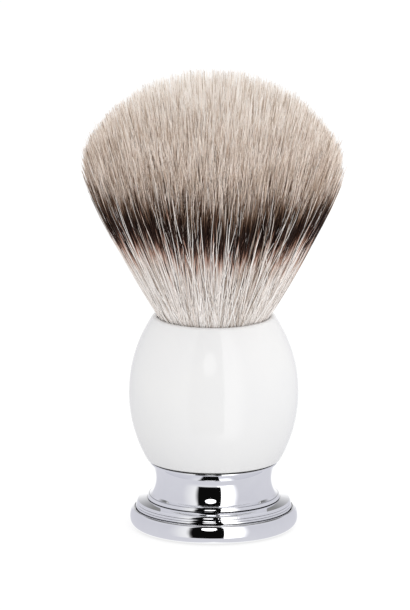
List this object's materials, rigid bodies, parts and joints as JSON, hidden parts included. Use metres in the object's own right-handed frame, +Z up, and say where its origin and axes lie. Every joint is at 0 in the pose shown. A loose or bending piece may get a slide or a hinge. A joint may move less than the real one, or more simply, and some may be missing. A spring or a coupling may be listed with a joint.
{
  "type": "shaving brush",
  "caption": "Free-standing shaving brush with a fan-shaped banded fibre knot, a glazed barrel handle, a hollow-curved chrome collar and a ridged chrome foot.",
  "frame": {"origin": "centre of the foot pad's underside, on the surface that the brush stands on", "axes": "+Z up along the brush's axis of symmetry, from the foot to the fibre tips; +X and +Y are arbitrary because the brush is round, except for the hexagon recess, the split washer and the ribs inside"},
  "size_m": [0.0592, 0.0592, 0.1038],
  "materials": {
    "fibres": "matte",
    "twine": "matte",
    "resin": "gloss",
    "ring": "satin",
    "glue": "satin",
    "socket": "matte",
    "seal": "matte",
    "porcelain": "gloss",
    "gasket": "matte",
    "chrome": "polished",
    "ballast": "satin",
    "insert": "satin",
    "fastener": "satin",
    "pad": "matte"
  },
  "bodies": {
    "root": {"fibre_bundle": "fibres", "root_binding": "twine", "resin_plug": "resin", "knot_ring": "ring", "knot_glue_bed": "glue", "knot_socket": "socket", "socket_seal": "seal", "handle_body": "porcelain", "body_gasket": "gasket", "neck_collar": "chrome", "foot_base": "chrome", "ballast_weight": "ballast", "threaded_insert": "insert", "tie_screw": "fastener", "spring_washer": "fastener", "flat_washer": "fastener", "foot_pad": "pad"}
  },
  "joints": []
}
